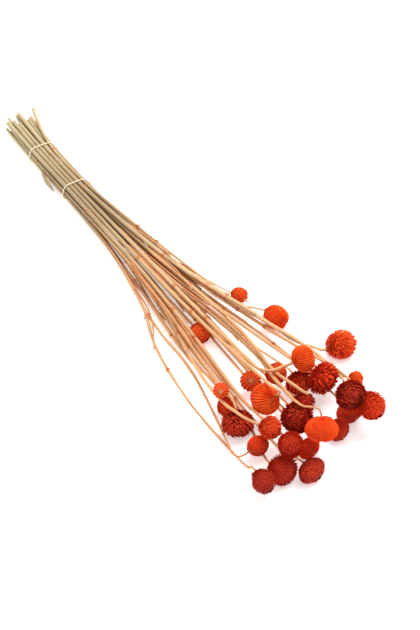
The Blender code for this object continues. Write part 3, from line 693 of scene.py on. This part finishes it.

# The dye as it looks in painted highlight and in painted shade, each from orange to crimson.
DYE_IN_PAINTED_LIGHT = ((0.0, (0.95, 0.140, 0.016)), (0.45, (0.93, 0.071, 0.012)), (1.0, (0.60, 0.043, 0.015)))
DYE_IN_PAINTED_SHADE = ((0.0, (0.58, 0.038, 0.008)), (0.45, (0.53, 0.025, 0.008)), (1.0, (0.30, 0.018, 0.010)))
DARK_HEART, PALE_WOOL = (0.15, 0.008, 0.007, 1.0), (0.60, 0.36, 0.16, 1.0)

paper, shader, start = new_material("dyed_paper", Roughness=0.8, Specular_IOR_Level=0.12)
uv = start.node("ShaderNodeUVMap", {"uv_map": "UVMap"}, {})
length = uv.part("Y")
keel = 1.0 - uv.part("X")
# Each head's dye, deepened towards its lower side by painted shade, comes per corner with the other values.
dye, tint, heart, pleated, wool = (carried_value(start, title)
                                   for title in ("dye", "tint", "heart", "pleated", "wool"))
veins = uv.stretched((14.0, 1.5, 1.0)).noise(1.0, 2.0, 0.6)
patches = own_place(start).noise(150.0)
patchy_dye_and_shade = (dye + patches * 0.5 - 0.25).clamped()
# Painted highlight towards the bract tips and along the keels, painted shade at the roots and in the folds
# between, broken up by veins and each bract's random tint.
tuft = length * 1.25 + tint * 0.35 - 0.42
fold = keel * 1.5 + tint * 0.2 - 0.42
painted_light = (tuft + pleated * (fold - tuft) + veins * 0.3 - 0.15).clamped()
colour = painted_light.blend(patchy_dye_and_shade.ramp(DYE_IN_PAINTED_SHADE), patchy_dye_and_shade.ramp(DYE_IN_PAINTED_LIGHT))
colour = (heart * 0.85).clamped().blend(colour, DARK_HEART)
colour = wool.clamped().blend(colour, PALE_WOOL)
feed(shader, Base_Color=colour, Roughness=veins * 0.2 + 0.68, Normal=veins.bump(0.25, 0.2 * MM))


class Globe:
    """The ovoid that a head's tips reach, measured on the frame's head from its seat along its stem."""

    def __init__(self, head):
        self.base, self.axis = seats[head]
        reach = corners_of(head).reshape(-1, 3) - self.base
        heights = reach @ self.axis
        self.half_length = (heights.max() - heights.min()) / 2
        self.half_width = np.percentile(np.linalg.norm(reach - heights[:, None] * self.axis, axis=1), 99)
        self.centre = self.base + self.axis * (heights.max() + heights.min()) / 2
        self.side = unit(np.cross(self.axis, (0.0, 0.0, 1.0)))
        self.across = np.cross(self.axis, self.side)
        self.phases = draw.uniform(0, math.tau, 3)

    def out(self, turn):
        """Unit vectors square to the axis, at longitudes."""
        return np.cos(turn)[..., None] * self.side + np.sin(turn)[..., None] * self.across

    def place(self, rise, turn, depth):
        """Rise is the latitude on the ovoid, turn the longitude, and depth the share of the way out, out of
        round by three slow waves."""
        lumps = (np.sin(3 * turn + self.phases[0]) * np.cos(rise) + np.sin(5 * rise + self.phases[1])
                 + np.sin(5 * turn + 3 * rise + self.phases[2]) * np.cos(rise)) * LUMPS / 2
        depth = depth * (1 + lumps)
        upward = np.sin(rise)[..., None] * self.axis * self.half_length
        outward = np.cos(rise)[..., None] * self.out(turn) * self.half_width
        return self.centre + depth[..., None] * (upward + outward)

    def normal(self, rise, turn):
        """Unit vectors that point straight out of the ovoid."""
        return unit(np.sin(rise)[..., None] * self.axis / self.half_length
                    + np.cos(rise)[..., None] * self.out(turn) / self.half_width)


def tips_of(way, number):
    """Latitudes and longitudes of the tips. In a head with ridges they stand in rows from seat to top,
    every other row half a step on, which sway and leave the top to a small spiral. In the others they
    follow a spiral by the golden angle, at even heights."""
    if way not in RIDGES:
        count = np.arange(number)
        return np.arcsin(SPIRAL_FOOT + SPIRAL_SPAN * (count + 0.5) / number), count * GOLDEN_ANGLE
    layers, top, crown_count = RIDGES[way]
    level, ridge = np.meshgrid(np.arange(layers), np.arange(number), indexing="ij")
    rise = np.radians(RIDGE_FOOT + (top - RIDGE_FOOT) * (level + 0.5 * (ridge % 2)) / (layers - 0.5))
    sway = RIDGE_SWAY * np.sin(rise * RIDGE_SWAYS + ridge)
    turn = ridge * math.tau / number + RIDGE_LEAN * np.sin(rise) + sway
    crown = np.arange(crown_count)
    lowest = math.sin(math.radians(top - CROWN_OVERLAP))
    crown_rise = np.arcsin(1 - (1 - lowest) * (crown[::-1] + 0.5) / max(crown_count, 1))
    return (np.concatenate([rise.ravel(), crown_rise]),
            np.concatenate([turn.ravel(), crown * GOLDEN_ANGLE]))


def bracts(globe, way, number):
    """Folded scales. A scale's keel runs from its root to its tip over the ovoid, rising as a power of the
    way along. Its two wings lie lower by the keel's height, widen to the middle by a sine and close to a
    point at the very tip. Tips are scattered, and scales rolled, by bell-shaped draws."""
    made = WAYS[way]
    rise, turn = tips_of(way, number)
    count = len(rise)
    along_it = np.linspace(0, 1, KEEL_ROWS + 1)[None]
    lean = np.radians(made.uneven)
    end_rise = rise + draw.normal(0, lean * STRAY, count)
    end_turn = turn + draw.normal(0, lean * STRAY, count) / np.maximum(np.cos(rise), STRAY_LATITUDE)
    farther = draw.normal(0, DEPTH_STRAY + DEPTH_PER_DEGREE * made.uneven, count)
    end_depth = made.top * (1 + farther.clip(*DEPTH_LIMITS))
    start_rise = rise - np.radians(made.below)
    rises = start_rise[:, None] + (end_rise - start_rise)[:, None] * along_it
    turns = turn[:, None] + (end_turn - turn)[:, None] * along_it
    depths = made.root + (end_depth[:, None] - made.root) * along_it ** made.power
    line = globe.place(rises, turns, depths)
    out = globe.normal(rises, turns)
    side = unit(np.cross(out, unit(np.gradient(line, axis=1))))
    roll = draw.normal(0, lean, count)[:, None, None]
    side, out = side * np.cos(roll) + out * np.sin(roll), out * np.cos(roll) - side * np.sin(roll)
    wide = made.half_width * MM * (globe.half_width / USUAL_RADIUS) ** 0.5
    wide = wide * draw.uniform(*BRACT_WIDTHS, count)[:, None]
    if way in RIDGES:
        space = math.pi * globe.half_width * np.maximum(np.cos(rises), CROWD_LATITUDE) / number
        wide = np.minimum(wide * RIDGE_WIDER, space * RIDGE_CROWD)
    width = wide * (0.6 + 0.4 * np.sin(math.pi * along_it)) * (1 - along_it ** 6)
    height = made.keel_height * MM * (0.5 + 0.5 * along_it) * (1 - 0.6 * along_it ** 6)
    left = line - side * width[..., None] - out * height[..., None]
    right = line + side * width[..., None] - out * height[..., None]
    rings = np.stack([left, line, right, line - out * BRACT_THICK], axis=2)
    rings = np.concatenate([rings[:, :-1].reshape(count, -1, 3), line[:, -1:]], axis=1)
    fold = np.array([1.0, 0.0, 1.0, 1.0])    # 0 on the keel, and 1 on the two wings and the underside
    uv = np.stack(np.broadcast_arrays(fold[None], along_it[0, :-1, None]), axis=-1).reshape(-1, 2)
    uv = np.tile(np.concatenate([uv, [(0.0, 1.0)]]), (count, 1))
    last = (KEEL_ROWS - 1) * 4
    body = grid_faces(KEEL_ROWS, 4, closed=False)
    body += [[last + k, last + (k + 1) % 4, last + 4] for k in range(4)] + [[3, 2, 1, 0]]
    size = rings.shape[1]
    faces = [[corner + n * size for corner in face] for n in range(count) for face in body]
    return rings.reshape(-1, 3), faces, uv, np.repeat(draw.uniform(0, 1, count), size)


def core(globe, depth):
    """The ovoid itself at one depth, as rings from pole to pole."""
    rise, turn = np.meshgrid(np.radians(np.linspace(-CORE_POLE, CORE_POLE, CORE_ROWS)),
                             np.linspace(0, math.tau, CORE_SIDES, endpoint=False), indexing="ij")
    points = globe.place(rise, turn, np.full(rise.shape, depth))
    return points.reshape(-1, 3), grid_faces(CORE_ROWS, CORE_SIDES)


def base_leaves(globe):
    """Two small dry leaves that cup the head from its seat: a narrow leaf shape, whose half width is a sine
    of a power of the way along, and which bends outward to its tip."""
    share = np.linspace(0, 1, CUP_ROWS)
    first = draw.uniform(0, math.tau)
    points, faces = [], []
    for number, turn in enumerate((first, first + math.pi)):
        turn = np.full(CUP_ROWS, turn)
        rise = np.radians(CUP_ROOT + CUP_RISE * share)
        middle = globe.place(rise, turn, 1.02 - 0.03 * share + 0.07 * share ** 3)
        normal = globe.normal(rise, turn)
        side = unit(np.cross(normal, np.gradient(middle, axis=0)))
        wide = (CUP_HALF_WIDTH * (np.sin(math.pi * share ** 0.7) * 0.95 + 0.06))[:, None]
        rim = [middle - side * wide, middle + normal * CUP_KEEL, middle + side * wide,
               middle - normal * CUP_UNDER]
        faces += moved_on(grid_faces(CUP_ROWS, 4), number * CUP_ROWS * 4)
        points.append(np.stack(rim, axis=1).reshape(-1, 3))
    return np.concatenate(points), faces


for head, way, number, dye_share, dark_top, painted_shade_deepening in HEADS:
    globe = Globe(head)
    points, faces, uv, tint = bracts(globe, way, number)
    core_points, core_faces = core(globe, WAYS[way].root + CORE_CLEAR)
    leaf_points, leaf_faces = base_leaves(globe)
    leaves_from = len(points) + len(core_points)
    faces += moved_on(core_faces, len(points)) + moved_on(leaf_faces, leaves_from)
    points = np.clip(np.concatenate([points, core_points, leaf_points]), *cad_box)
    plain = np.zeros(len(points) - len(tint))
    # The core and the cup leaves get a uv with no keel and no length, so they take the dye in painted
    # shade.
    uv = np.concatenate([uv, np.tile([1.0, 0.0], (len(plain), 1))])
    reach = points - globe.centre
    upright = (reach @ globe.axis) / globe.half_length
    high = reach[:, 2] / globe.half_width
    heart = np.clip((upright - HEART_FROM) / HEART_OVER, 0, 1) * dark_top
    wool = np.clip((-SEAT_FROM - upright) / SEAT_OVER, 0, 1) * (0.0 if way == "ribbed" else SEAT_WOOL)
    if way == "star":
        wool += np.clip((upright - TUFT_FROM) / TUFT_OVER, 0, 1) * TUFT_WOOL
    heart[leaves_from:] = CUP_HEART
    wool[leaves_from:] = CUP_WOOL
    # Painted shade: the dye deepens lower on the head and lightens higher up.
    dye_with_painted_shade = np.clip(dye_share + painted_shade_deepening * (PAINTED_SHADE_AT_MIDDLE - PAINTED_SHADE_FALL * high), 0, 1)
    item = lay(head + "_bracts", points, faces, paper, uv, tint=np.concatenate([tint, plain]), dye=dye_with_painted_shade,
               heart=heart, wool=wool, pleated=np.full(len(points), WAYS[way].pleated))
    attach(item, "root")
    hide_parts(head)
    "crimson_bracts" if head in CRIMSON_HEADS else "orange_bracts"


# Bands. Two thin cream elastic bands, each wound round the stems and held by its own pull. Each is a round
# cord along the middle of the frame's band, whose corners farthest to +X lie straight beside that middle.

BAND_RADIUS = 0.5 * MM
BAND_SIDES = 10
EDGE_DEPTH = 0.02 * MM                       # those corners are all this near the farthest one

rubber, shader, start = new_material("cream_rubber", Roughness=0.5)
grain = own_place(start).noise(900.0)
feed(shader, Base_Color=grain.blend((0.78, 0.70, 0.50, 1.0), (0.86, 0.80, 0.62, 1.0)),
     Roughness=grain * 0.2 + 0.4)

for band in ("band_near_cut_ends", "band_at_fan"):
    places = np.unique(np.round(corners_of(band).reshape(-1, 3), 5), axis=0)
    lowest_x, highest_x = places[:, 0].min(), places[:, 0].max()
    edge = places[places[:, 0] > highest_x - EDGE_DEPTH]
    middle = edge.mean(axis=0)
    edge = edge[np.argsort(np.arctan2(edge[:, 2] - middle[2], edge[:, 1] - middle[1]))]
    outward = unit(edge - middle)
    cosine, sine = circle(BAND_SIDES)
    rings = edge[:, None] + sine * outward[:, None] * BAND_RADIUS
    rings[..., 0] = (lowest_x + highest_x) / 2 + cosine[:, 0] * BAND_RADIUS
    rows = len(edge)
    last = (rows - 1) * BAND_SIDES
    faces = grid_faces(rows, BAND_SIDES, closed=False)
    faces += [[last + k, last + (k + 1) % BAND_SIDES, (k + 1) % BAND_SIDES, k] for k in range(BAND_SIDES)]
    item = lay(band + "_rubber", np.clip(rings.reshape(-1, 3), *cad_box), faces, rubber)
    item.data.polygons.foreach_set("use_smooth", np.ones(len(item.data.polygons), bool))
    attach(item, "root")
    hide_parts(band)
